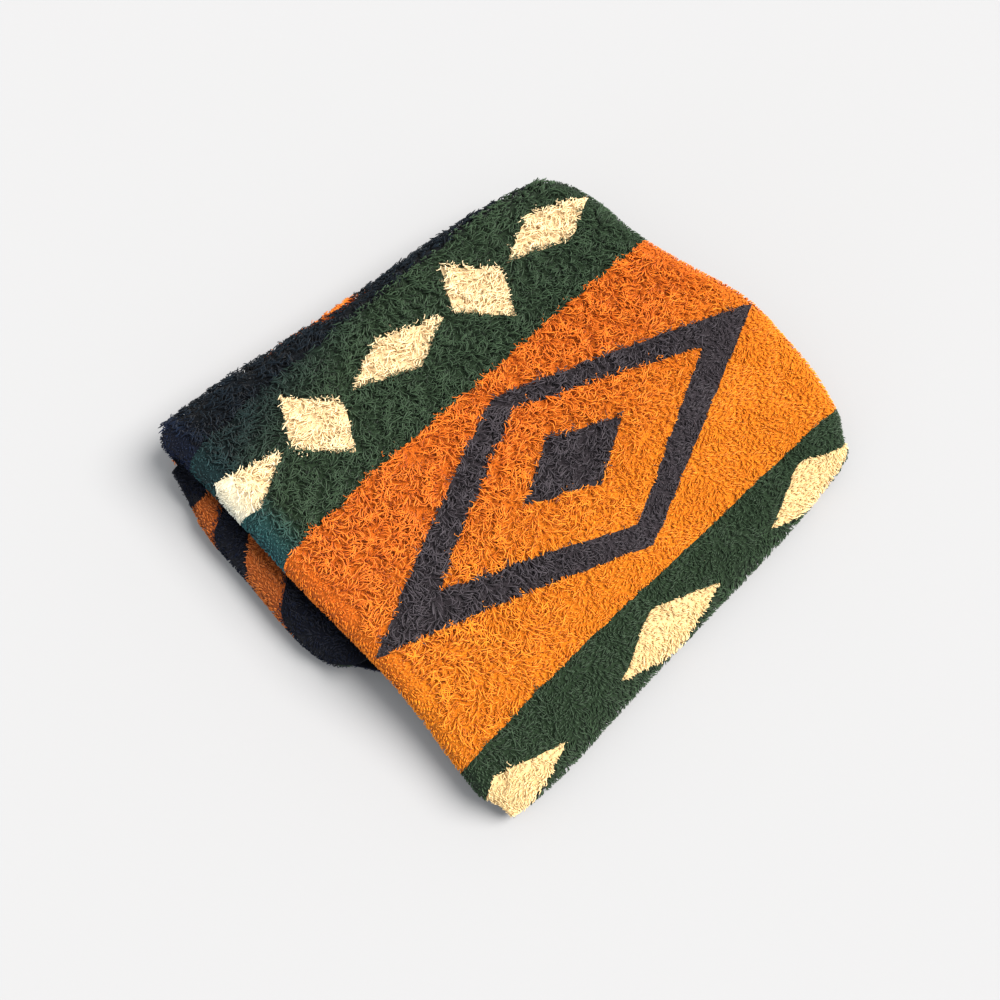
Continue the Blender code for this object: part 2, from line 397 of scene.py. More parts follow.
    def ply_point(self, place: Place, x: np.ndarray) -> np.ndarray:
        """Points of one ply's middle surface.

        Args:
            place: The station.
            x: X of the points.

        Returns:
            Rows y, z, outward y and outward z.
        """
        y, z, out_y, out_z = self.middle_point(place, x)
        share = np.full_like(x, 1.0 if place.run is Run.DROOP else 0.0)
        if place.run is Run.SLOPE:
            share = self.slope_share(y, x)
        offset = self.plies[place.ply].level * self.pitch * (1 + (self.front_puff - 1) * smooth(share))
        return np.array((y + out_y * offset, z + out_z * offset, out_y, out_z))

    def turn_point(self, place: Place, x: np.ndarray) -> np.ndarray:
        """Points of the half round that joins two neighbouring plies at an edge.

        Args:
            place: The station, on a turn.
            x: X of the points.

        Returns:
            Rows y, z, outward y and outward z.
        """
        first, second = (self.ply_point(side, x) for side in place.sides())
        centre = (first[:2] + second[:2]) / 2
        spoke = first[:2] - centre
        forward = np.array((-first[3], first[2]))
        if place.run is Run.LOWER:
            forward = -forward
        angle = math.pi * place.along
        reach = math.sin(angle) * np.linalg.norm(spoke, axis=0)
        point = centre + math.cos(angle) * spoke + reach * forward
        return np.array((*point, first[2], first[3]))

    def station_point(self, place: Place, x: np.ndarray) -> np.ndarray:
        """Points of the sheet's middle surface, as rows y, z, outward y and outward z."""
        return self.ply_point(place, x) if place.turn_to < 0 else self.turn_point(place, x)

    def upper_share(self, place: Place) -> float:
        """How far a station is from the lower stack to the upper one.

        Args:
            place: The station.

        Returns:
            0 in the lower stack, 1 in the upper one, eased round the roll.
        """
        if place.run is Run.ROLL:
            return float(smooth(place.along))
        return 0.0 if place.run is Run.LOWER else 1.0

    def curl_sizes(self, place: Place) -> np.ndarray:
        """How a ply's ends turn down at a station.

        Args:
            place: The station.

        Returns:
            Left turn, right turn and size, each from 0 to 1.
        """
        over = place.along if place.run is Run.DROOP else 0.0
        size = 1.0 + (self.droop_curl_size - 1.0) * over
        if place.ply == self.top_ply:
            turned = smooth((self.upper_share(place) - self.top_curl_start) / self.top_curl_growth)
            turned *= 1 - smooth(over)
            return np.array((turned, turned, size))
        if place.ply == self.lower_stack_ply and place.run is Run.LOWER:
            faded = smooth(1 - (1 - place.along) / self.lower_curl_fade)
            return np.array((smooth(place.along / self.lower_curl_growth) * (1 - faded), 0.0, size))
        return np.array((0.0, 0.0, size))

    def insets(self, place: Place) -> np.ndarray:
        """How far a ply's ends stand back at a station.

        Args:
            place: The station.

        Returns:
            How far from the lower outline and how far from the upper one.
        """
        ply = self.plies[place.ply]
        more = 0.0
        if place.run is Run.ROLL:
            more = self.roll_inset * math.sin(math.pi * place.along)
        if place.run is Run.DROOP:
            more = self.droop_inset * smooth(place.along)
        if place.ply == self.top_ply:
            more = 0.0
        return np.array((ply.inset_lower + more, ply.inset_upper + more))

    def round_turn(self, place: Place, values: Callable[[Place], np.ndarray]) -> np.ndarray:
        """Eases a ply's values to the next one's, round the turn between them.

        Args:
            place: The station.
            values: Gives the values at a station that is on no turn.

        Returns:
            The values at the station.
        """
        if place.turn_to < 0:
            return values(place)
        first, second = (values(side) for side in place.sides())
        return first + (second - first) * smooth(place.along)

    def curl_offsets(self, turned: float, size: float) -> np.ndarray:
        """The columns of a turned-down end from where its bend starts.

        Args:
            turned: How far it is turned down, from 0 to 1.
            size: Its size as a share of the full one.

        Returns:
            Rows of offsets along X, inwards, and along the cloth.
        """
        index = np.arange(1, self.curl_cells + 1)
        angle = max(turned, self.least_curl) * self.full_curl
        radius = self.curl_arc * size / angle
        share = np.minimum(index / self.curl_arc_cells, 1.0)
        past = np.maximum(index - self.curl_arc_cells, 0) / (self.curl_cells - self.curl_arc_cells)
        drop = self.curl_drop * size * past
        out = radius * np.sin(angle * share) + drop * math.cos(angle)
        down = radius * (1 - np.cos(angle * share)) + drop * math.sin(angle)
        return np.array((out, down, self.curl_arc * size * share + drop))

    def outline(self, place: Place) -> tuple[float, float]:
        """The outline at a station, insets taken off.

        Args:
            place: The station.

        Returns:
            X of its left and of its right end.
        """
        y = float(self.station_point(place, np.zeros(1))[0][0])
        share = self.upper_share(place)
        lower, upper = self.round_turn(place, self.insets)
        left = (1 - share) * (on_curve(self.lower_left, y) + lower)
        left += share * (on_curve(self.upper_left, y) + upper)
        right = (1 - share) * (on_curve(self.lower_right, y) - lower)
        right += share * (on_curve(self.upper_right, y) - upper)
        return float(left), float(right)

    def row(self, place: Place) -> tuple[np.ndarray, np.ndarray, np.ndarray]:
        """One row of the sheet, across a station from its left end to its right.

        Args:
            place: The station.

        Returns:
            The points, the place along the bands of each in the flat cloth, and each one's place on the
            section without the turned-down ends, as y and z.
        """
        turn_left, turn_right, size = self.round_turn(place, self.curl_sizes)
        left_end, right_end = self.outline(place)
        left_offsets = self.curl_offsets(turn_left, size)
        right_offsets = self.curl_offsets(turn_right, size)
        left = left_end + left_offsets[0][-1]
        right = right_end - right_offsets[0][-1]
        flat = left + (right - left) * np.arange(self.flat_cells + 1) / self.flat_cells
        x = np.concatenate((left - left_offsets[0][::-1], flat, right + right_offsets[0]))
        inwards = np.concatenate((left_offsets[1][::-1], np.zeros_like(flat), right_offsets[1]))
        along = np.concatenate((left - left_offsets[2][::-1], flat, right + right_offsets[2]))
        if self.plies[place.ply].level > 0:
            inwards = -inwards
        y, z, out_y, out_z = self.station_point(place, x)
        move = inwards + self.round_turn(place, self.outward_shift)
        points = np.stack((x, y + out_y * move, z + out_z * move), axis=1)
        return points, along, np.stack((y, z), axis=1)

    def run_places(self, ply: int) -> list[Place]:
        """The stations of one ply.

        Args:
            ply: The ply.

        Returns:
            The stations, from its hidden end to the front.
        """
        cells = self.outer_cells if ply == self.top_ply else self.inner_cells
        places = [Place(ply, Run.LOWER, along) for along in self.lower_steps]
        for run, count in cells.items():
            if run is not Run.DROOP or self.plies[ply].droops:
                places += [Place(ply, run, (k + 1) / count) for k in range(count)]
        return places

    def turn_places(self, ply: int) -> list[Place]:
        """The stations of one turn.

        Args:
            ply: The ply that the turn joins to the next one.

        Returns:
            The stations, from the one ply to the other.
        """
        front_run = Run.DROOP if self.plies[ply].droops else Run.SLOPE
        run = front_run if ply % 2 == 0 else Run.LOWER
        return [Place(ply, run, k / self.turn_cells, ply + 1) for k in range(1, self.turn_cells)]

    def sheet_places(self) -> list[Place]:
        """Every station of the sheet.

        Returns:
            The stations in order, back and forth through the bundle.
        """
        places: list[Place] = []
        for ply in range(len(self.plies)):
            run = self.run_places(ply)
            places += run if ply % 2 == 0 else run[::-1]
            if ply + 1 < len(self.plies):
                places += self.turn_places(ply)
        return places

    def grid(self) -> tuple[np.ndarray, np.ndarray]:
        """The whole sheet.

        Returns:
            Its points, in the frame of the part, and the place of each in the flat cloth as (u, v). u is
            X on the flat top, and v is Y there.
        """
        rows = [self.row(place) for place in self.places]
        points = np.array([row[0] for row in rows])
        u = np.array([row[1] for row in rows])
        section = np.array([row[2] for row in rows])
        steps = np.linalg.norm(np.diff(section, axis=0), axis=2)
        v = -np.concatenate((np.zeros((1, u.shape[1])), np.cumsum(steps, axis=0)))
        anchor = self.places.index(Place(self.top_ply, Run.TOP, 1.0))
        v += self.slope_top_y - v[anchor]
        points = points - np.array((*self.middle, -self.bearing_lift))
        return points, np.stack((u, v), axis=2)

    def outward_shift(self, place: Place) -> float:
        """How far the top ply's cloth lies outside its solid's middle, to leave room for its pile.

        Args:
            place: The station.

        Returns:
            The distance, below 0 where the cloth lies inside.
        """
        if place.ply != self.top_ply:
            return 0.0
        share = self.upper_share(place)
        return self.rest_shift + (self.pile_shift - self.rest_shift) * share


@dataclass(frozen=True)
class Nap:
    """One kind of tuft.

    Attributes:
        density: Tufts per square metre where the pile is all of this kind.
        length: Length of a tuft.
        radius: Radius of a tuft at its middle.
        curl: Turn sideways from one length of a tuft to the next, in radians.
        stray: How much the tufts' directions differ from their neighbours', in radians.
        leans: Lean from the cloth's normal of each length, from root to tip, in degrees.
        spans: Share of the tuft that each length is.
        widths: Width at the root and at each bend, as shares.
        painted_depths: How far out of the pile the root and each bend are, which sets the painted shade low
            in the pile, 1 for the tip.
    """

    density: float
    length: float
    radius: float
    curl: float
    stray: float
    leans: tuple[float, ...]
    spans: tuple[float, ...]
    widths: tuple[float, ...]
    painted_depths: tuple[float, ...]

    def faces(self) -> list[tuple[int, ...]]:
        """The faces of one tuft.

        Returns:
            A root face, quads from ring to ring, and a pointed tip, each as its points.
        """
        rings = len(self.leans)
        faces = [tuple(range(RING))[::-1]]
        for ring in range(rings):
            here = [ring * RING + k for k in range(RING)]
            there = [min(index + RING, rings * RING) for index in here]
            for k in range(RING):
                n = (k + 1) % RING
                end = (rings * RING,) if ring == rings - 1 else (there[n], there[k])
                faces.append((here[k], here[n], *end))
        return faces

    def triangles(self) -> int:
        """How many triangles one tuft has."""
        return sum(len(face) - 2 for face in self.faces())


# Acrylic yarn that is knitted in and brushed out stands in strands of about 0.4 mm, which are finer than a
# pixel, so tufts are drawn 1.1 to 1.2 mm wide. Towards the front and right they are short and lie down.
FINE = Nap(
    density=165000.0,
    length=0.0062,
    radius=0.00055,
    curl=0.6,
    stray=0.3,
    leans=(26, 60, 80),
    spans=(0.36, 0.42, 0.22),
    widths=(0.9, 1.0, 0.85),
    painted_depths=(0.1, 0.8, 1.0, 1.0),
)
# At the back and left the strands are long and their ends curl over, which gives the eye a fleecy surface.
CURLY = Nap(
    density=86000.0,
    length=0.0150,
    radius=0.00062,
    curl=0.9,
    stray=0.32,
    leans=(38, 76, 90, 92),
    spans=(0.30, 0.32, 0.27, 0.11),
    widths=(0.8, 1.0, 1.0, 0.9),
    painted_depths=(0.0, 0.6, 0.95, 1.0, 1.0),
)


@dataclass
class Tufts:
    """Many tufts, as arrays with a row for each.

    Attributes:
        roots: Where they stand.
        normals: The cloth's outward normals there.
        leans: The directions that they lean in, along the cloth.
        curls: Turn sideways from one length to the next, in radians.
        rises: Lean of each length as a share of its kind's.
        lengths: Their lengths.
        radii: Their radii.
        weave: The place in the flat cloth whose colour the root has.
        reaches: From there to the place whose colour the tip has.
        shades: How dark they are, from 0 to 1.
    """

    roots: np.ndarray
    normals: np.ndarray
    leans: np.ndarray
    curls: np.ndarray
    rises: np.ndarray
    lengths: np.ndarray
    radii: np.ndarray
    weave: np.ndarray
    reaches: np.ndarray
    shades: np.ndarray

    def part(self, rows: slice) -> "Tufts":
        """Some of the tufts."""
        return Tufts(*(getattr(self, one.name)[rows] for one in fields(self)))


def unit(vectors: np.ndarray) -> np.ndarray:
    """The vectors at length 1."""
    return vectors / np.maximum(np.linalg.norm(vectors, axis=-1, keepdims=True), TINY)


def on_grid(values: np.ndarray, spot: tuple[np.ndarray, ...]) -> np.ndarray:
    """Values at places between a grid's points.

    Args:
        values: A value or vector at each point, by row and column.
        spot: Row and column of each place's cell, and its shares across it along the row and the column.

    Returns:
        The values there.
    """
    r, c, s, t = spot
    near = values[r, c] * (1 - s) + values[r, c + 1] * s
    far = values[r + 1, c] * (1 - s) + values[r + 1, c + 1] * s
    return near * (1 - t) + far * t


def mesh_piece(name: str, points: np.ndarray, faces: np.ndarray, sizes: np.ndarray) -> bpy.types.Object:
    """A mesh object from arrays.

    Args:
        name: The piece's name.
        points: Its points.
        faces: The points of every face, one face after another.
        sizes: How many points each face has.

    Returns:
        The object, in the scene.
    """
    mesh = bpy.data.meshes.new(name)
    mesh.vertices.add(len(points))
    mesh.vertices.foreach_set("co", points.ravel())
    mesh.loops.add(len(faces))
    mesh.loops.foreach_set("vertex_index", faces)
    mesh.polygons.add(len(sizes))
    mesh.polygons.foreach_set("loop_start", np.concatenate(((0,), np.cumsum(sizes)[:-1])))
    mesh.polygons.foreach_set("use_smooth", np.ones(len(sizes), dtype=bool))
    mesh.update(calc_edges=True)
    piece = bpy.data.objects.new(name, mesh)
    bpy.context.scene.collection.objects.link(piece)
    return piece


def set_uv(piece: bpy.types.Object, name: str, values: np.ndarray) -> None:
    """Gives a piece a UV map with one pair for each face corner."""
    layer = piece.data.uv_layers.new(name=name)
    layer.uv.foreach_set("vector", values.astype(np.float32).ravel())


def tuft_piece(name: str, tufts: Tufts, nap: Nap, face: Face) -> bpy.types.Object:
    """Many tufts as one mesh: each is three-sided, closed and bent.

    Args:
        name: The piece's name.
        tufts: Where they stand and how they lean.
        nap: Their kind.
        face: The face of the cloth that they stand on.

    Returns:
        The object.
    """
    count = len(tufts.roots)
    rings = len(nap.leans)
    sideways = np.cross(tufts.normals, tufts.leans)
    points = np.empty((count, rings * RING + 1, 3))
    centre = tufts.roots
    for step, (lean, span, width) in enumerate(zip(nap.leans, nap.spans, nap.widths)):
        # The root is turned half a step back, so that the tuft lies along its lean as a whole.
        turn = (tufts.curls * (step - 0.5))[:, None]
        level = np.cos(turn) * tufts.leans + np.sin(turn) * sideways
        rise = (tufts.rises * math.radians(lean))[:, None]
        forward = np.cos(rise) * tufts.normals + np.sin(rise) * level
        side = unit(np.cross(level, tufts.normals))
        across = np.cross(side, forward)
        for k in range(RING):
            angle = math.pi / 2 + k * 2 * math.pi / RING
            spoke = (math.cos(angle) * side + math.sin(angle) * across) * (tufts.radii * width)[:, None]
            points[:, step * RING + k] = centre + spoke
        centre = centre + forward * (tufts.lengths * span)[:, None]
    points[:, -1] = centre
    points[:, :, 2] = np.maximum(points[:, :, 2], FLOOR_GAP)
    corner = np.array([index for one in nap.faces() for index in one])
    corners = (np.arange(count)[:, None] * (rings * RING + 1) + corner).ravel()
    sizes = np.tile([len(one) for one in nap.faces()], count)
    piece = mesh_piece(name, points.reshape(-1, 3), corners, sizes)
    along = np.concatenate(((0.0,), np.cumsum(nap.spans)))[corner // RING]
    set_uv(piece, face.value, tufts.weave[:, None] + tufts.reaches[:, None] * along[:, None])
    # How far out of the pile each ring is sets its painted shade, darkest at the root.
    depth = np.array(nap.painted_depths)[corner // RING]
    shade = np.repeat(tufts.shades, len(corner))
    set_uv(piece, FIBRE_UV, np.stack((np.tile(depth, count), shade), axis=1))
    return piece


@dataclass(frozen=True)
class Mixer:
    """The tree of nodes of one material.

    Attributes:
        tree: The tree.
    """

    tree: bpy.types.NodeTree

    def add(self, kind: str, *values: Feed, output: int = 0, **settings: Feed) -> Socket:
        """Adds one node with its settings and links.

        Args:
            kind: The node's type, without the word ShaderNode before it.
            values: What goes into its first inputs in order, as values or links.
            output: The output to go on from.
            settings: Values of its properties by name, and values or links of its inputs by identifier.

        Returns:
            That output.
        """
        node = self.tree.nodes.new(f"ShaderNode{kind}")
        inputs = {socket.identifier: socket for socket in node.inputs}
        for name, value in (*zip(inputs, values), *settings.items()):
            if isinstance(value, Socket):
                self.tree.links.new(value, inputs[name])
            elif name in inputs:
                inputs[name].default_value = value
            else:
                setattr(node, name, value)
        return node.outputs[output]


class Dye(Enum):
    """The yarn's colours, as sRGB hex, with lit, shaded and blue-lit copies of some that paint light and
    shade onto the cloth.
    """

    # Painted light and shade: the orange lit towards the front and right, and in painted shade towards the
    # back and left.
    LIGHT_ORANGE = "#E48E26"
    DEEP_ORANGE = "#D97926"
    # The reverse's own rust orange, darkened with painted shade under the upper stack.
    RUST = "#B2662F"
    GREEN = "#3A4C37"
    # The green in painted shade towards the roll at the left.
    DARK_GREEN = "#20302F"
    # Painted bluish light at the left end, on the green, the cream and the navy.
    COOL_GREEN = "#31646A"
    CREAM = "#EBD3A9"
    # The cream in painted bluish light.
    COOL_CREAM = "#D4D3C4"
    GOLDEN_CREAM = "#E2C796"
    CHARCOAL = "#494347"
    NAVY = "#0F1A22"
    # The navy in painted bluish light.
    COOL_NAVY = "#131F3A"
    # The reverse's own dark ground, darkened with painted shade under the upper stack.
    INK = "#050F22"


def linear(colour: str) -> tuple[float, float, float, float]:
    """Turns an sRGB hex colour to linear RGBA.

    Args:
        colour: The colour, as a hash and six digits.

    Returns:
        The shares of red, green and blue, and full alpha.
    """
    # The numbers are those of the sRGB curve.
    shares = [int(colour[i : i + 2], 16) / 255 for i in (1, 3, 5)]
    bent = [c / 12.92 if c <= 0.04045 else ((c + 0.055) / 1.055) ** 2.4 for c in shares]
    return (*bent, 1.0)


@dataclass(frozen=True)
class Lozenge:
    """A diamond of the pattern, in metres of flat cloth.

    Attributes:
        u: Its middle along the bands.
        v: Its middle across them.
        half_u: Half its length along the bands.
        half_v: Half its length across them.
        pitch: Distance along the bands at which it comes again, or 0 where it stands alone.
        lean: How far its points across the bands are drawn aside, for each metre across.
    """

    u: float
    v: float
    half_u: float
    half_v: float
    pitch: float = 0.0
    lean: float = 0.0

    def mask(self, mix: Mixer, u: Socket, v: Socket) -> Socket:
        """Draws it.

        Args:
            mix: Where the nodes go.
            u: Place along the bands.
            v: Place across them.

        Returns:
            1 inside it and 0 outside.
        """
        across = mix.add("Math", v, self.v, operation="SUBTRACT")
        along = mix.add("Math", u, self.u, operation="SUBTRACT")
        along = mix.add("Math", across, -self.lean, along, operation="MULTIPLY_ADD")
        if self.pitch:
            along = mix.add("Math", along, self.pitch / 2, -self.pitch / 2, operation="WRAP")
        shares = []
        for distance, half in ((along, self.half_u), (across, self.half_v)):
            distance = mix.add("Math", distance, operation="ABSOLUTE")
            shares.append(mix.add("Math", distance, half, operation="DIVIDE"))
        return mix.add("Math", mix.add("Math", *shares, operation="ADD"), 1.0, operation="LESS_THAN")


@dataclass(frozen=True)
class Stroke:
    """A slanting stripe on the reverse, where it shows at the lower stack's left end.

    Attributes:
        low: Its lower edge at the outline.
        low_slope: Rise of that edge for each metre inwards.
        high: Its upper edge at the outline.
        high_slope: Rise of that edge for each metre inwards.
    """

    low: float
    low_slope: float
    high: float
    high_slope: float


@dataclass(frozen=True)
class Weave:
    """The pattern of bands and diamonds, in metres of flat cloth: u runs along the bands, v across them.

    Attributes:
        orange_low: Lower edge of the orange band at u = 0.
        orange_low_slope: Fall of that edge for each metre of u.
        orange_top: Upper edge of the orange band.
        green_top: Upper edge of the green band, where the dark one starts.
        dip_from: u from where the bands bend down to the left end.
        dip: How fast they do, per metre.
        waver: How far the edges stray, as brushed yarn doesn't keep to a line: 2 mm.
        waver_size: Size of the strays on the cloth, about that of a lock of pile: 16 mm.
        large_outer: Outer edge of the large outlined diamond.
        large_inner: Inner edge of it.
        small: The small diamond in it.
        far_outer: Outer edge of the next outlined diamond, round the roll.
        far_inner: Inner edge of it.
        chain_long: The diamonds that lie along the green band.
        chain_upright: The diamonds that stand between them.
        chain_low: The diamonds of the green band at the front.
        strokes: The stripes on the reverse.
        lip_edge: u of the outline where they show.
        deep_middle: Share of the orange in painted shade at u = 0 and v = 0.
        orange_shade_u_slope: Its growth for each metre of u.
        orange_shade_v_slope: Its growth for each metre of v.
        blue_light_from: u from where bluish light is painted on the dyes, growing to the left end.
        blue_light_width: How far on they are fully blue-lit.
        green_shade_from: v from where painted shade darkens the green towards the roll.
        green_shade_v_slope: Its growth for each metre of v.
        green_shade_u_slope: Its growth for each metre of u.
        dusk_u_middle: u where that counts for nothing.
        green_shade_hold: How much of the blue-lit green the painted shade holds off.
    """

    orange_low: float = -0.130
    orange_low_slope: float = -0.022
    orange_top: float = 0.1258
    green_top: float = 0.267
    dip_from: float = -0.06
    dip: float = 0.2
    waver: float = 0.0022
    waver_size: float = 0.016
    large_outer: Lozenge = Lozenge(-0.001, -0.001, 0.2600, 0.1060, lean=-0.05)
    large_inner: Lozenge = Lozenge(0.003, -0.0005, 0.1788, 0.0820, lean=-0.04)
    small: Lozenge = Lozenge(0.004, 0.003, 0.0678, 0.0341, lean=-0.1)
    far_outer: Lozenge = Lozenge(-0.050, 0.391, 0.2607, 0.1060)
    far_inner: Lozenge = Lozenge(-0.050, 0.391, 0.1788, 0.0814)
    chain_long: Lozenge = Lozenge(-0.0375, 0.2050, 0.0605, 0.0262, pitch=0.2105, lean=-0.25)
    chain_upright: Lozenge = Lozenge(0.0680, 0.2020, 0.0345, 0.0485, pitch=0.2150, lean=-0.155)
    chain_low: Lozenge = Lozenge(-0.0425, -0.1755, 0.0675, 0.0276, pitch=0.2105)
    strokes: tuple[Stroke, ...] = (Stroke(0.196, 0.6, 0.247, -0.4), Stroke(0.092, 0.85, 0.143, 1.0))
    lip_edge: float = -0.295
    deep_middle: float = 0.45
    orange_shade_u_slope: float = -0.3
    orange_shade_v_slope: float = 9.0
    blue_light_from: float = -0.225
    blue_light_width: float = 0.045
    green_shade_from: float = 0.21
    green_shade_v_slope: float = 14.0
    green_shade_u_slope: float = -6.0
    dusk_u_middle: float = -0.13
    green_shade_hold: float = 0.65

    def colour(self, mix: Mixer, face: Face) -> Socket:
        """Draws one face of the cloth.

        Args:
            mix: Where the nodes go.
            face: The face.

        Returns:
            Its colour.
        """
        place = mix.add("UVMap", uv_map=face.value)
        noise = mix.add("TexNoise", place, Scale=1 / self.waver_size, Detail=1.0, output=1)
        strays = mix.add("SeparateXYZ", noise).node.outputs
        straight = mix.add("SeparateXYZ", place).node.outputs
        wavering = []
        for line, stray in zip(straight[:2], strays[:2]):
            stray = mix.add("Math", stray, 0.5, operation="SUBTRACT")
            wavering.append(mix.add("Math", stray, 2 * self.waver, line, operation="MULTIPLY_ADD"))
        return self.front(mix, *wavering) if face is Face.FRONT else self.lip(mix, *wavering)

    def front(self, mix: Mixer, u: Socket, v: Socket) -> Socket:
        """Draws the front: an orange band with a large diamond, green bands with cream chains, navy beyond,
        with painted light and shade over them.

        Args:
            mix: Where the nodes go.
            u: Place along the bands.
            v: Place across them.

        Returns:
            The colour.
        """
        past = mix.add("Math", self.dip_from, u, operation="SUBTRACT")
        past = mix.add("Math", past, 0.0, operation="MAXIMUM")
        dipped = mix.add("Math", past, past, operation="MULTIPLY")
        v = mix.add("Math", dipped, self.dip, v, operation="MULTIPLY_ADD")
        low_edge = mix.add("Math", u, self.orange_low_slope, self.orange_low, operation="MULTIPLY_ADD")
        above = mix.add("Math", v, self.orange_top, operation="GREATER_THAN")
        below = mix.add("Math", v, low_edge, operation="LESS_THAN")
        green = mix.add("Math", above, below, operation="MAXIMUM")
        navy = mix.add("Math", v, self.green_top, operation="GREATER_THAN")
        outline, far_outline = (
            mix.add("Math", outer.mask(mix, u, v), inner.mask(mix, u, v), operation="SUBTRACT")
            for outer, inner in ((self.large_outer, self.large_inner), (self.far_outer, self.far_inner))
        )
        figures = mix.add("Math", outline, self.small.mask(mix, u, v), operation="MAXIMUM")
        long, upright, low_chain = (
            lozenge.mask(mix, u, v) for lozenge in (self.chain_long, self.chain_upright, self.chain_low)
        )
        chains = mix.add("Math", long, upright, operation="MAXIMUM")
        cool, green_shade = self.cool(mix, u, v), self.green_shade(mix, u, v, above)
        held = mix.add("Math", green_shade, -self.green_shade_hold, 1.0, operation="MULTIPLY_ADD")
        blue_lit_green, blue_lit_navy, blue_lit_chains = (
            mix.add("Math", where, cool, operation="MULTIPLY") for where in (green, navy, chains)
        )
        # Painted light and shade are laid over the dyes here: lit and shaded orange, shaded green and bluish
        # light at the left end.
        layers = (
            (Dye.DEEP_ORANGE, self.deep(mix, u, v)),
            (Dye.GREEN, green),
            (Dye.DARK_GREEN, green_shade),
            (Dye.COOL_GREEN, mix.add("Math", blue_lit_green, held, operation="MULTIPLY")),
            (Dye.NAVY, navy),
            (Dye.COOL_NAVY, blue_lit_navy),
            (Dye.CHARCOAL, figures),
            (Dye.DEEP_ORANGE, far_outline),
            (Dye.CREAM, chains),
            (Dye.COOL_CREAM, blue_lit_chains),
            (Dye.GOLDEN_CREAM, low_chain),
        )
        return self.laid_over(mix, Dye.LIGHT_ORANGE, layers)

    def deep(self, mix: Mixer, u: Socket, v: Socket) -> Socket:
        """Where the orange is in painted shade: more towards the back and left, lit towards the front and
        right.

        Args:
            mix: Where the nodes go.
            u: Place along the bands.
            v: Place across them.

        Returns:
            Its share, from 0 to 1.
        """
        share = mix.add("Math", u, self.orange_shade_u_slope, self.deep_middle, operation="MULTIPLY_ADD")
        return mix.add("Math", v, self.orange_shade_v_slope, share, operation="MULTIPLY_ADD", use_clamp=True)

    def cool(self, mix: Mixer, u: Socket, v: Socket) -> Socket:
        """Where bluish light is painted on the dyes, which is at the left end of the upper half.

        Args:
            mix: Where the nodes go.
            u: Place along the bands.
            v: Place across them.

        Returns:
            How blue-lit they are, from 0 to 1.
        """
        past = mix.add("Math", self.blue_light_from, u, operation="SUBTRACT")
        share = mix.add("Math", past, self.blue_light_width, operation="DIVIDE", use_clamp=True)
        upper = mix.add("Math", v, 0.0, operation="GREATER_THAN")
        return mix.add("Math", share, upper, operation="MULTIPLY")

    def green_shade(self, mix: Mixer, u: Socket, v: Socket, above: Socket) -> Socket:
        """Where the green is darkened with painted shade, towards the roll at the left.

        Args:
            mix: Where the nodes go.
            u: Place along the bands.
            v: Place across them.
            above: 1 above the orange band and 0 elsewhere.

        Returns:
            Its share, from 0 to 1.
        """
        rise = mix.add("Math", v, self.green_shade_from, operation="SUBTRACT")
        rise = mix.add("Math", rise, self.green_shade_v_slope, operation="MULTIPLY")
        side = mix.add("Math", u, self.dusk_u_middle, operation="SUBTRACT")
        share = mix.add("Math", side, self.green_shade_u_slope, rise, operation="MULTIPLY_ADD", use_clamp=True)
        return mix.add("Math", share, above, operation="MULTIPLY")

    def lip(self, mix: Mixer, u: Socket, y: Socket) -> Socket:
        """Draws the reverse as it shows at the lower stack's left end: rust strokes on ink, darkened with
        painted shade under the upper stack.

        Args:
            mix: Where the nodes go.
            u: Place along the bands.
            y: Place along that end.

        Returns:
            The colour.
        """
        inwards = mix.add("Math", u, self.lip_edge, operation="SUBTRACT")
        masks = []
        for stroke in self.strokes:
            low = mix.add("Math", inwards, stroke.low_slope, stroke.low, operation="MULTIPLY_ADD")
            high = mix.add("Math", inwards, stroke.high_slope, stroke.high, operation="MULTIPLY_ADD")
            past_low = mix.add("Math", y, low, operation="GREATER_THAN")
            short_of_high = mix.add("Math", y, high, operation="LESS_THAN")
            masks.append(mix.add("Math", past_low, short_of_high, operation="MULTIPLY"))
        return self.laid_over(mix, Dye.INK, [(Dye.RUST, mask) for mask in masks])

    def laid_over(self, mix: Mixer, ground: Dye, layers: Sequence[tuple[Dye, Socket]]) -> Socket:
        """Lays dyes over a ground.

        Args:
            mix: Where the nodes go.
            ground: The dye beneath.
            layers: Each further dye with the mask of where it is.

        Returns:
            The colour.
        """
        colour = linear(ground.value)
        for dye, mask in layers:
            feeds = {"Factor_Float": mask, "A_Color": colour, "B_Color": linear(dye.value)}
            colour = mix.add("Mix", data_type="RGBA", output=2, **feeds)
        return colour


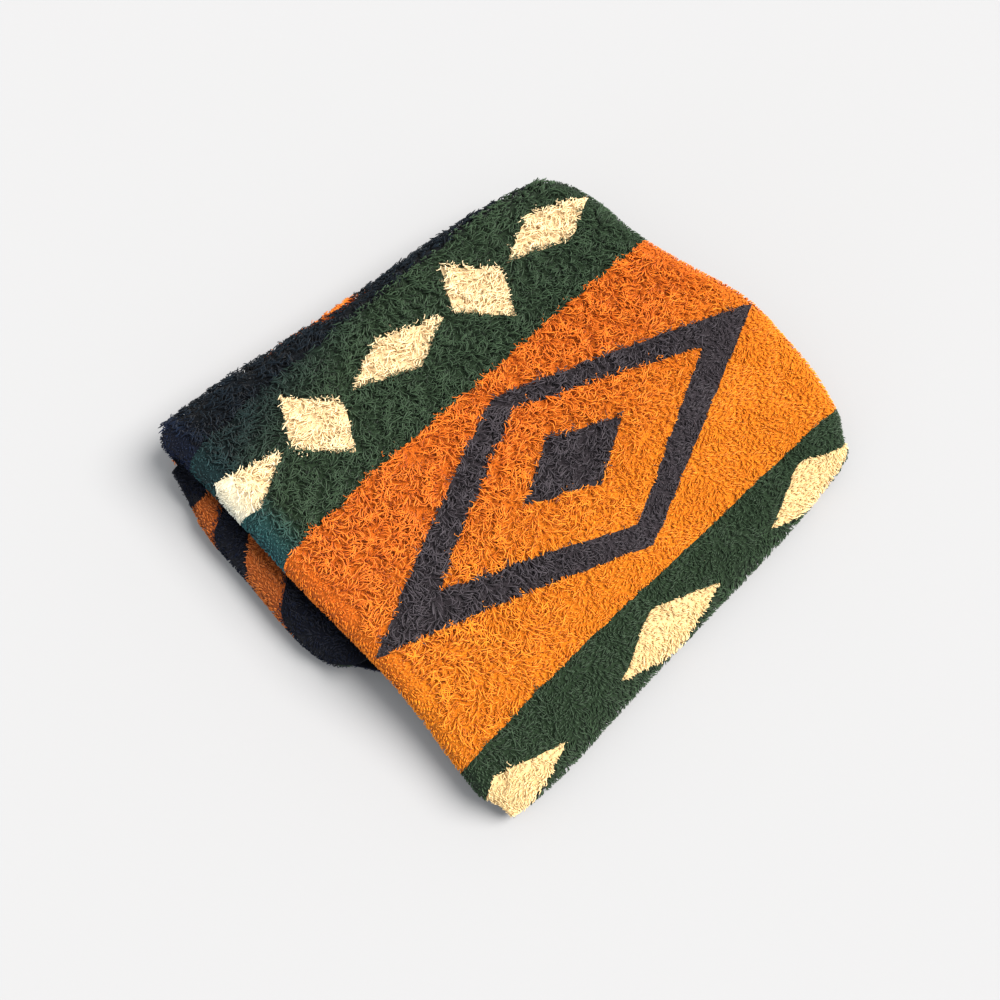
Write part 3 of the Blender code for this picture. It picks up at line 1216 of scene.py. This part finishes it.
@dataclass(frozen=True)
class Plush:
    """Acrylic plush, knitted with a pile and brushed: matt, with a faint sheen on its fibres.

    Loose fibres send light every way among them, so nothing on the cloth is glossy. The roots of the tufts
    and the cloth between them are painted darker and stronger in colour than the tips: painted shade low in
    the pile.

    Attributes:
        roughness: Roughness of the fibres.
        sheen: Weight of the sheen.
        specular: Specular level, low for loose fibres.
        root_depth: Power that the dye's colour is raised to at a tuft's root, 1 at the tip of a light one:
            painted shade low in the pile.
        shade_depth: How much more of it a dark tuft has.
        root_value: Brightness at a tuft's root as a share of its tip's: painted shade low in the pile.
        scatter: How much of that painted shade a light dye loses, for each unit of its blue, as painted
            bounced light.
        stub_size: Size of the specks on the cloth between its tufts. They are the roots of strands of about
            0.4 mm, which is finer than a pixel, so they are drawn as coarse as 1.6 mm.
        stub_detail: Finer layers of those specks.
        stub_roughness: How strong each finer layer is.
        stub_contrast: How much those specks differ.
        stub_shade_power: Power that the dye's colour is raised to there, as painted shade between the tufts.
        stub_height: How far the specks stand out.
        least_value: Brightness of the darkest speck.
    """

    roughness: float = 0.9
    sheen: float = 0.04
    specular: float = 0.1
    root_depth: float = 1.5
    shade_depth: float = 0.12
    root_value: float = 0.52
    scatter: float = 1.7
    stub_size: float = 0.0016
    stub_detail: float = 2.0
    stub_roughness: float = 0.6
    stub_contrast: float = 1.6
    stub_shade_power: float = 1.25
    stub_height: float = 0.001
    least_value: float = 0.1

    def material(self, face: Face, layer: Layer, weave: Weave) -> bpy.types.Material:
        """Makes the plush of one layer of one face.

        Args:
            face: The face.
            layer: The layer.
            weave: The pattern.

        Returns:
            The material.
        """
        material = bpy.data.materials.new(f"acrylic_plush_{face.name.lower()}_{layer.value}")
        material.use_nodes = True
        mix = Mixer(material.node_tree)
        shader = material.node_tree.nodes["Principled BSDF"]
        colour = weave.colour(mix, face)
        if layer is Layer.PILE:
            power, value = self.along_tuft(mix)
        else:
            place = mix.add("UVMap", uv_map=face.value)
            finer = {"Detail": self.stub_detail, "Roughness": self.stub_roughness}
            stubs = mix.add("TexNoise", place, Scale=1 / self.stub_size, **finer)
            bump = mix.add("Bump", Distance=self.stub_height, Height=stubs)
            mix.tree.links.new(bump, shader.inputs["Normal"])
            # The cloth between the tufts gets painted shade, as a tuft's root does, with specks of its stubs.
            power = self.stub_shade_power
            speck = mix.add("Math", stubs, 0.5, operation="SUBTRACT")
            value = mix.add("Math", speck, self.stub_contrast, self.root_value, operation="MULTIPLY_ADD")
            value = mix.add("Clamp", value, self.least_value, 1.0)
        # Light dyes lose some of the painted shade, as painted bounced light.
        blue = mix.add("SeparateColor", Color=colour, output=2)
        shade_lifted = mix.add("Math", blue, self.scatter, operation="MULTIPLY")
        shadow = mix.add("Math", 1.0, value, operation="SUBTRACT")
        value = mix.add("Math", shadow, shade_lifted, value, operation="MULTIPLY_ADD")
        colour = mix.add("Gamma", colour, power)
        colour = mix.add("HueSaturation", Color=colour, Value=value)
        mix.tree.links.new(colour, shader.inputs["Base Color"])
        shader.inputs["Roughness"].default_value = self.roughness
        shader.inputs["Sheen Weight"].default_value = self.sheen
        shader.inputs["Specular IOR Level"].default_value = self.specular
        return material

    def along_tuft(self, mix: Mixer) -> tuple[Socket, Socket]:
        """Works out the painted shade along a tuft, darkest at its root, and its own random darkness.

        Args:
            mix: Where the nodes go.

        Returns:
            The power that the dye's colour is raised to, and the brightness.
        """
        out, shade, _ = mix.add("SeparateXYZ", mix.add("UVMap", uv_map=FIBRE_UV)).node.outputs
        power = mix.add("Math", out, 1 - self.root_depth, self.root_depth, operation="MULTIPLY_ADD")
        power = mix.add("Math", shade, self.shade_depth, power, operation="MULTIPLY_ADD")
        value = mix.add("Math", out, 1 - self.root_value, self.root_value, operation="MULTIPLY_ADD")
        return power, mix.add("Math", shade, -self.shade_depth, value, operation="MULTIPLY_ADD")


@dataclass(frozen=True)
class MattPaper:
    """Uncoated grey paper, rolled out: it scatters light evenly, so the floor has soft shadows and no gloss.

    Attributes:
        colour: Its colour, as sRGB hex.
        roughness: Its roughness.
        specular: Its specular level.
    """

    colour: str = "#929292"
    roughness: float = 0.9
    specular: float = 0.1

    def material(self) -> bpy.types.Material:
        """Makes the paper.

        Returns:
            The material.
        """
        material = bpy.data.materials.new("matt_paper")
        material.use_nodes = True
        shader = material.node_tree.nodes["Principled BSDF"]
        shader.inputs["Base Color"].default_value = linear(self.colour)
        shader.inputs["Roughness"].default_value = self.roughness
        shader.inputs["Specular IOR Level"].default_value = self.specular
        return material


@dataclass(frozen=True)
class Rim:
    """The short tufts on the cut ends of the cloth.

    Attributes:
        spacing: Distance from one to the next.
        band: How far they stand from the middle of the cloth's thickness at most, as a share of it.
        sink: How far their roots are in the cloth.
        splay: Spread of their directions up and down.
        curl: Spread of their turn sideways, in radians.
        rises: Least and most lean, as shares of a fine tuft's.
        length: Their length, as a share of a fine tuft's.
        lengths: Least and most of that.
        radii: Least and most radius, as shares of a fine tuft's.
    """

    spacing: float = 0.0021
    band: float = 0.4
    sink: float = 0.001
    splay: float = 0.35
    curl: float = 0.8
    rises: tuple[float, float] = (0.8, 1.05)
    length: float = 0.65
    lengths: tuple[float, float] = (0.8, 1.2)
    radii: tuple[float, float] = (0.8, 1.15)


@dataclass(frozen=True)
class Bed:
    """Tufts of one kind on one stretch of one face.

    Attributes:
        name: What its pieces' names start with.
        tufts: The tufts.
        face: The face.
        nap: Their kind.
    """

    name: str
    tufts: Tufts
    face: Face
    nap: Nap = FINE


@dataclass
class Blanket:
    """The folded cloth and its pile.

    Attributes:
        packet: Its folds.
        weave: Its pattern.
        plush: Its finish.
        rim: The tufts on its ends.
        cloth: Thickness of the cloth without its pile.
        swirls: Size and depth, in radians, of each set of swirls that the pile lies in.
        clump: Size of the locks that curl the same way.
        waves: How many waves an uneven field is made of.
        stretches: Least and most length of a wave, as shares of its size.
        curl_field: Number of the uneven field that turns the tufts sideways.
        rise_field: Number of the one that changes how far they lean.
        swirl_field: Number of the first that the swirls follow.
        curly_middle: How curly the pile is at u = 0 and v = 0, from 0 to 1.
        curly_u_slope: Its growth for each metre of u.
        curly_v_slope: Its growth for each metre of v.
        undergrowth_loss: Share of the fine tufts that the curly ones take the place of.
        end_share: Length of the tufts at the cloth's ends, as a share of the others'.
        sizes: Least and most length and radius of a tuft, as shares of its kind's.
        curl_swing: How much a lock's tufts turn sideways together, as a share of the full turn.
        curl_spread: How much each turns on its own.
        rise: Lean of the tufts, as a share of their kind's.
        rise_swing: How much it changes from lock to lock.
        rise_spread: How much it changes from tuft to tuft.
        sink: How far the roots are in the cloth.
        weave_start: How far along the tuft the place is whose colour its root has, as a share of its length.
        weave_reach: How much further the place is whose colour its tip has.
        lip_columns: Columns past the turned end that the lower stack's pile covers.
        piece_triangles: The most triangles in a piece.
        seed: What the random draws start from.
        points: The sheet's points, by row and column.
        uv: The place of each in the flat cloth.
        reverse_uv: The place of each in the reverse's pattern.
    """

    packet: Packet = field(default_factory=Packet)
    weave: Weave = field(default_factory=Weave)
    plush: Plush = field(default_factory=Plush)
    rim: Rim = field(default_factory=Rim)
    cloth: float = 0.0035
    swirls: Rows = ((0.13, 0.9), (0.075, 0.8), (0.045, 0.7), (0.026, 0.6))
    clump: float = 0.012
    waves: int = 4
    stretches: tuple[float, float] = (0.8, 1.25)
    curl_field: int = 2
    rise_field: int = 3
    swirl_field: int = 10
    curly_middle: float = 0.65
    curly_u_slope: float = -2.5
    curly_v_slope: float = 7.0
    undergrowth_loss: float = 0.75
    end_share: float = 0.7
    sizes: tuple[float, float] = (0.85, 1.15)
    curl_swing: float = 1.3
    curl_spread: float = 0.35
    rise: float = 0.96
    rise_swing: float = 0.05
    rise_spread: float = 0.06
    sink: float = 0.0005
    weave_start: float = 0.22
    weave_reach: float = 0.45
    lip_columns: int = 3
    piece_triangles: int = 198000
    seed: int = 7
    points: np.ndarray = field(init=False)
    uv: np.ndarray = field(init=False)
    reverse_uv: np.ndarray = field(init=False)

    def __post_init__(self) -> None:
        """Works out the sheet's points and their places in the flat cloth."""
        self.points, self.uv = self.packet.grid()
        self.reverse_uv = np.stack((self.uv[..., 0], self.points[..., 1] + self.packet.middle[1]), axis=-1)

    def build_cloth(self) -> bpy.types.Object:
        """Builds the sheet itself.

        Returns:
            The sheet, with its thickness.
        """
        rows, columns = self.points.shape[:2]
        index = np.arange(rows * columns).reshape(rows, columns)
        quads = np.stack((index[:-1, :-1], index[1:, :-1], index[1:, 1:], index[:-1, 1:]), axis=-1)
        corners = quads.ravel()
        sheet = mesh_piece("folded_cloth", self.points.reshape(-1, 3), corners, np.full(len(corners) // 4, 4))
        for face, uv in ((Face.FRONT, self.uv), (Face.REVERSE, self.reverse_uv)):
            set_uv(sheet, face.value, uv.reshape(-1, 2)[corners])
            sheet.data.materials.append(self.plush.material(face, Layer.BACKING, self.weave))
        wall = sheet.modifiers.new("cloth", "SOLIDIFY")
        wall.thickness = self.cloth
        wall.offset = 0.0
        wall.material_offset = 1
        bpy.ops.object.select_all(action="DESELECT")
        bpy.context.view_layer.objects.active = sheet
        sheet.select_set(True)
        bpy.ops.object.modifier_apply(modifier=wall.name)
        return sheet

    def tufts_on(self, rows: slice, columns: slice, face: Face, nap: Nap) -> Tufts:
        """Plants tufts of one kind on one face of a stretch of the sheet.

        Args:
            rows: The stretch's rows of points.
            columns: The stretch's columns.
            face: The face.
            nap: The kind.

        Returns:
            The tufts.
        """
        rng = np.random.default_rng((self.seed, rows.start, columns.start, len(nap.leans)))
        side = 1.0 if face is Face.FRONT else -1.0
        grid, front_uv = self.points[rows, columns], self.uv[rows, columns]
        uv = front_uv if face is Face.FRONT else self.reverse_uv[rows, columns]
        corner = grid[:-1, :-1]
        area = np.linalg.norm(np.cross(grid[:-1, 1:] - corner, grid[1:, :-1] - corner), axis=2)
        column = np.arange(area.shape[1]) + columns.start
        last_flat = self.points.shape[1] - 1 - self.packet.curl_cells
        at_end = (column < self.packet.curl_cells) | (column >= last_flat)
        curly = np.where(at_end, 0.0, self.coarseness(front_uv[:-1, :-1]))
        share = curly if nap is CURLY else 1 - self.undergrowth_loss * curly
        counts = np.floor(area * nap.density * share + rng.random(area.shape)).astype(int)
        r, c = (np.repeat(index.ravel(), counts.ravel()) for index in np.indices(counts.shape))
        count = len(r)
        spot = (r, c, *rng.random((2, count, 1)))
        u_ways = unit(np.gradient(grid, axis=1))
        normals = unit(np.cross(u_ways, unit(-np.gradient(grid, axis=0))))
        normal = unit(on_grid(normals, spot)) * side
        u_way = unit(on_grid(u_ways, spot))
        v_way = np.cross(normal, u_way) * side
        place = on_grid(front_uv, spot)
        angle = self.lie(place) + rng.normal(0, nap.stray, count)
        leans = np.cos(angle)[:, None] * u_way + np.sin(angle)[:, None] * v_way
        leans = unit(leans - normal * np.sum(leans * normal, axis=1, keepdims=True))
        lengths = nap.length * rng.uniform(*self.sizes, count) * np.where(at_end[c], self.end_share, 1.0)
        course = lengths[:, None] * np.stack((np.cos(angle), np.sin(angle)), axis=1)
        turn = self.curl_swing * self.ripple(place, self.clump, self.curl_field)
        rise = self.rise + self.rise_swing * self.ripple(place, self.clump, self.rise_field)
        return Tufts(
            roots=on_grid(grid, spot) + normal * (self.cloth / 2 - self.sink),
            normals=normal,
            leans=leans,
            curls=nap.curl * (turn + rng.normal(0, self.curl_spread, count)),
            rises=rise + rng.uniform(-self.rise_spread, self.rise_spread, count),
            lengths=lengths,
            radii=nap.radius * rng.uniform(*self.sizes, count),
            weave=on_grid(uv, spot) + self.weave_start * course,
            reaches=self.weave_reach * course,
            shades=rng.uniform(0.0, 1.0, count),
        )

    def rim_tufts(self, rows: slice, column: int, face: Face) -> Tufts:
        """Plants tufts on one end of the cloth.

        Args:
            rows: The rows of points that get them.
            column: The column of points at that end, the first or the last.
            face: The face whose colours they have.

        Returns:
            The tufts.
        """
        rim = self.rim
        rng = np.random.default_rng((self.seed, rows.start, column))
        line = self.points[rows, column]
        inner = self.points[rows, column + 1 if column == 0 else column - 1]
        uv = (self.uv if face is Face.FRONT else self.reverse_uv)[rows, column]
        steps = np.linalg.norm(np.diff(line, axis=0), axis=1)
        counts = np.floor(steps / rim.spacing + rng.random(len(steps))).astype(int)
        r = np.repeat(np.arange(len(counts)), counts)
        count = len(r)
        t = rng.random((count, 1))
        out = unit(line - inner)[r]
        along = unit(np.gradient(line, axis=0))[r]
        up = np.cross(along, out)
        lift, turn = rng.normal(0, rim.splay, (count, 1)), rng.uniform(0, 2 * math.pi, (count, 1))
        normals = unit(out + lift * up)
        height = rng.uniform(-rim.band, rim.band, (count, 1)) * self.cloth
        return Tufts(
            roots=line[r] * (1 - t) + line[r + 1] * t + up * height - normals * rim.sink,
            normals=normals,
            leans=unit(np.cross(normals, along) * np.sin(turn) + along * np.cos(turn)),
            curls=rng.normal(0, rim.curl, count),
            rises=rng.uniform(*rim.rises, count),
            lengths=FINE.length * rim.length * rng.uniform(*rim.lengths, count),
            radii=FINE.radius * rng.uniform(*rim.radii, count),
            weave=uv[r] * (1 - t) + uv[r + 1] * t,
            reaches=np.zeros((count, 2)),
            shades=rng.uniform(0.0, 1.0, count),
        )

    def coarseness(self, weave: np.ndarray) -> np.ndarray:
        """How curly the pile is, from 0 at the front and right to 1 at the back left."""
        u, v = weave[..., 0], weave[..., 1]
        return smooth(self.curly_middle + self.curly_v_slope * v + self.curly_u_slope * u)

    def ripple(self, weave: np.ndarray, wave: float, number: int) -> np.ndarray:
        """An uneven field on the cloth.

        Args:
            weave: Places on it.
            wave: Size of its bumps.
            number: Which one, as there may be several of a size.

        Returns:
            Its value at each place, about -1 to 1.
        """
        rng = np.random.default_rng((self.seed, number))
        least, most = self.stretches
        total = np.zeros(len(weave))
        for _ in range(self.waves):
            turn, start, stretch = rng.uniform((0, 0, least), (2 * math.pi, 2 * math.pi, most))
            across = weave[:, 0] * math.cos(turn) + weave[:, 1] * math.sin(turn)
            total += np.sin(2 * math.pi / (wave * stretch) * across + start)
        return total / math.sqrt(self.waves)

    def lie(self, weave: np.ndarray) -> np.ndarray:
        """The direction that the pile lies in: towards the front, in swirls.

        Args:
            weave: Places on the cloth.

        Returns:
            The angle from u at each.
        """
        angle = np.full(len(weave), -math.pi / 2)
        for number, (wave, depth) in enumerate(self.swirls, self.swirl_field):
            angle += depth * self.ripple(weave, wave, number)
        return angle

    def beds(self) -> list[Bed]:
        """Plants all of the pile that shows.

        Returns:
            The beds in order.
        """
        packet = self.packet
        places = packet.places
        first = places.index(Place(packet.top_ply, Run.LOWER, packet.lower_steps[-2]))
        last = max(row for row, place in enumerate(places) if place.turn_to == packet.top_ply + 1)
        ply = packet.lower_stack_ply
        lip = [row for row, place in enumerate(places) if place.ply == ply and place.run is Run.LOWER]
        outer, lip_rows, whole = slice(first, last + 1), slice(min(lip), max(lip) + 1), slice(0, None)
        left_columns = slice(0, packet.curl_cells + self.lip_columns)
        right = self.points.shape[1] - 1
        return [
            Bed("outer_fine", self.tufts_on(outer, whole, Face.FRONT, FINE), Face.FRONT),
            Bed("outer_curly", self.tufts_on(outer, whole, Face.FRONT, CURLY), Face.FRONT, CURLY),
            Bed("lip_fine", self.tufts_on(lip_rows, left_columns, Face.REVERSE, FINE), Face.REVERSE),
            Bed("lip_rim", self.rim_tufts(lip_rows, 0, Face.REVERSE), Face.REVERSE),
            Bed("left_rim", self.rim_tufts(slice(0, last + 1), 0, Face.FRONT), Face.FRONT),
            Bed("inner_rim", self.rim_tufts(slice(last, min(lip)), 0, Face.REVERSE), Face.REVERSE),
            Bed("right_rim", self.rim_tufts(whole, right, Face.FRONT), Face.FRONT),
        ]

    def build(self) -> list[bpy.types.Object]:
        """Builds the cloth and its pile.

        Returns:
            The cloth, then the pieces of pile.
        """
        sheet = self.build_cloth()
        materials = {face: self.plush.material(face, Layer.PILE, self.weave) for face in Face}
        piles = []
        for bed in self.beds():
            most = self.piece_triangles // bed.nap.triangles()
            for start in range(0, len(bed.tufts.roots), most):
                name = f"{bed.name}_pile_{len(piles) + 1}"
                piece = tuft_piece(name, bed.tufts.part(slice(start, start + most)), bed.nap, bed.face)
                piece.data.materials.append(materials[bed.face])
                piles.append(piece)
        return [sheet, *piles]


@dataclass(frozen=True)
class Lamp:
    """A soft far light.

    Attributes:
        name: Its name.
        place: The direction that it shines from.
        softness: Its width as seen from the packet, in degrees.
        strength: Its strength.
        colour: Its colour.
    """

    name: str
    place: tuple[float, float, float]
    softness: float
    strength: float
    colour: tuple[float, float, float]

    def build(self) -> None:
        """Hangs it up."""
        lamp = bpy.data.objects.new(self.name, bpy.data.lights.new(self.name, "SUN"))
        lamp.data.angle = math.radians(self.softness)
        lamp.data.energy = self.strength
        lamp.data.color = self.colour
        lamp.rotation_euler = Vector(self.place).to_track_quat("Z", "Y").to_euler()
        bpy.context.scene.collection.objects.link(lamp)


@dataclass
class Studio:
    """The floor, the lights and the camera.

    Attributes:
        middle: X and Y of the part's origin, in the numbers that the packet's sizes are in.
        floor_size: Side of the floor.
        paper: What the floor is covered with.
        lamps: The lights.
        sky: Colour of the light from all round.
        sky_strength: Its strength.
        sensor: Width of the camera's sensor, in millimetres.
        lens: Its focal length, in millimetres.
        elevation: Height of the camera over the floor, as an angle in degrees.
        azimuth: Its turn round the packet, in degrees.
        distance: How far it is from what it looks at.
        target: What it looks at, in the numbers that the packet's sizes are in.
    """

    middle: tuple[float, float]
    floor_size: float = 40.0
    paper: MattPaper = MattPaper()
    lamps: tuple[Lamp, ...] = (
        Lamp("key", (1.0, -0.75, 1.6), 40, 8.0, (1.0, 0.975, 0.955)),
        Lamp("fill", (-1.5, -0.1, 0.16), 30, 0.8, (0.55, 0.75, 1.0)),
    )
    sky: tuple[float, float, float, float] = (0.95, 0.97, 1.0, 1.0)
    sky_strength: float = 1.15
    sensor: float = 36.0
    lens: float = 39.6
    elevation: float = 68.0
    azimuth: float = -44.262
    distance: float = 1.027
    target: tuple[float, float, float] = (-0.076, 0.022, 0.075)

    def build_floor(self) -> bpy.types.Object:
        """Lays the floor.

        Returns:
            The floor.
        """
        bpy.ops.mesh.primitive_plane_add(size=self.floor_size)
        floor = bpy.context.object
        floor.name = "floor"
        floor.data.materials.append(self.paper.material())
        return floor

    def light(self) -> None:
        """Hangs the lamps up and sets the light from all round."""
        world = bpy.data.worlds.new("soft_room")
        world.use_nodes = True
        background = world.node_tree.nodes["Background"]
        background.inputs["Color"].default_value = self.sky
        background.inputs["Strength"].default_value = self.sky_strength
        bpy.context.scene.world = world
        bpy.context.scene.view_settings.view_transform = "Standard"
        bpy.context.scene.view_settings.look = "None"
        for lamp in self.lamps:
            lamp.build()

    def aim_camera(self) -> None:
        """Sets the camera up at the photo's angle."""
        camera = bpy.data.objects.new("camera", bpy.data.cameras.new("camera"))
        bpy.context.scene.collection.objects.link(camera)
        camera.data.sensor_width = self.sensor
        camera.data.lens = self.lens
        el, az = math.radians(self.elevation), math.radians(self.azimuth)
        back = Vector((math.sin(az) * math.cos(el), -math.cos(az) * math.cos(el), math.sin(el)))
        camera.location = Vector(self.target) - Vector((*self.middle, 0.0)) + back * self.distance
        camera.rotation_euler = back.to_track_quat("Z", "Y").to_euler()
        bpy.context.scene.camera = camera


def main() -> None:
    logging.basicConfig(level=logging.INFO, format="%(name)s: %(message)s")
    blanket = Blanket()
    studio = Studio(blanket.packet.middle)
    floor = studio.build_floor()
    studio.light()
    studio.aim_camera()
    sheet, *piles = blanket.build()
    for piece in (sheet, *piles):
        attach(piece, "root")
        log.info("%s: %d faces", piece.name, len(piece.data.polygons))
    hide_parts("blanket")


if __name__ == "__main__":
    main()
